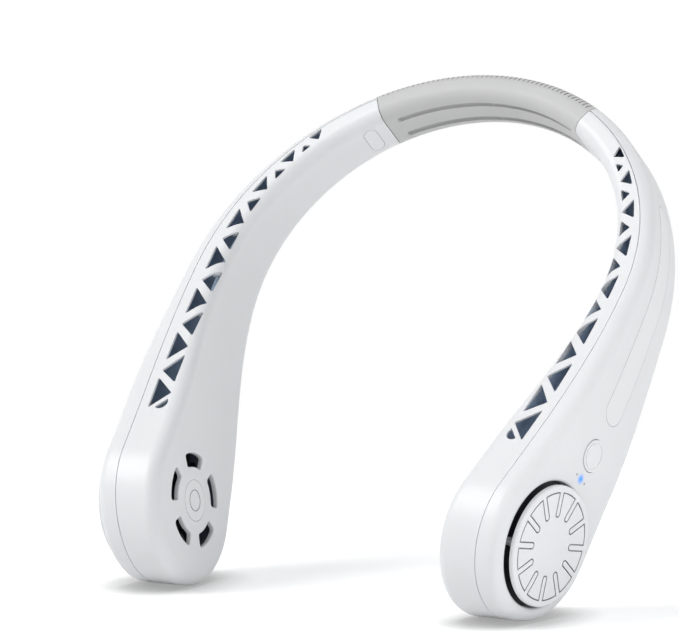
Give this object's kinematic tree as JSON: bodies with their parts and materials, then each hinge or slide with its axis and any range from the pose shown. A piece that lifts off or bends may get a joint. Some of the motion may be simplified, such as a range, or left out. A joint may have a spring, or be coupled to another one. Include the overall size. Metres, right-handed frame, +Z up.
{
  "type": "neck fan",
  "caption": "Horseshoe neck fan: arms with round fan ends, side intakes and a row of triangular vents, joined by a soft flexible band.",
  "frame": {"origin": "middle of the soft band's neck side, where it rests on the back of the neck", "axes": "+X to the side with the button, which is the picture's right; +Y to the back of the wearer, so the fan ends reach forward along -Y; +Z up"},
  "size_m": [0.19, 0.1509, 0.1791],
  "materials": {
    "white_shell": "satin",
    "white_trim": "satin",
    "silicone": "matte",
    "dark_duct": "matte",
    "black_plastic": "matte",
    "motor_steel": "brushed",
    "spring_steel": "bright",
    "cable_sheath": "matte",
    "battery_wrap": "dull",
    "circuit_board": "satin",
    "light_window": "clear"
  },
  "bodies": {
    "band": {"band_sleeve": "silicone", "band_core": "spring_steel", "band_lead": "cable_sheath"},
    "right_arm": {"right_outer_shell": "white_shell", "right_inner_shell": "white_shell", "right_air_guide": "dark_duct", "right_end_plug": "dark_duct", "right_screw_cover": "white_trim", "right_inlay": "white_trim", "right_intake_disc": "white_trim", "right_intake_ring": "black_plastic", "right_hub_cap": "white_trim", "right_motor": "motor_steel", "right_battery": "battery_wrap", "right_screw": "spring_steel", "button_switch": "black_plastic", "light_guide": "light_window", "main_board": "circuit_board", "charging_socket": "motor_steel"},
    "left_arm": {"left_outer_shell": "white_shell", "left_inner_shell": "white_shell", "left_air_guide": "dark_duct", "left_end_plug": "dark_duct", "left_screw_cover": "white_trim", "left_inlay": "white_trim", "left_intake_disc": "white_trim", "left_intake_ring": "black_plastic", "left_hub_cap": "white_trim", "left_motor": "motor_steel", "left_battery": "battery_wrap", "left_screw": "spring_steel"},
    "right_rotor": {"right_impeller": "black_plastic", "right_shaft": "spring_steel"},
    "left_rotor": {"left_impeller": "black_plastic", "left_shaft": "spring_steel"},
    "button": {"power_button": "white_trim"}
  },
  "joints": [
    {"name": "right_flex", "type": "hinge", "parent": "band", "child": "right_arm", "pos_m": [0.02276, 0.00165, 0.00207], "axis": [0, -0.7826, 0.6225], "range_deg": [-5, 12], "stiffness_Nm_per_rad": 2.5, "springref_deg": 0.72, "deforming": ["band_sleeve", "band_core", "band_lead"]},
    {"name": "left_flex", "type": "hinge", "parent": "band", "child": "left_arm", "pos_m": [-0.02276, 0.00165, 0.00207], "axis": [0, 0.7826, -0.6225], "range_deg": [-5, 12], "stiffness_Nm_per_rad": 2.5, "springref_deg": 0.72, "deforming": ["band_sleeve", "band_core", "band_lead"]},
    {"name": "right_spin", "type": "hinge", "parent": "right_arm", "child": "right_rotor", "pos_m": [0.07091, -0.10852, -0.13642], "axis": [0.9863, -0.1027, -0.1292], "continuous": true},
    {"name": "left_spin", "type": "hinge", "parent": "left_arm", "child": "left_rotor", "pos_m": [-0.07091, -0.10852, -0.13642], "axis": [-0.9863, -0.1027, -0.1292], "continuous": true},
    {"name": "power_press", "type": "slide", "parent": "right_arm", "child": "button", "axis": [-0.9863, 0.1027, 0.1292], "range_m": [0, 0.0006], "stiffness_N_per_m": 2500}
  ]
}
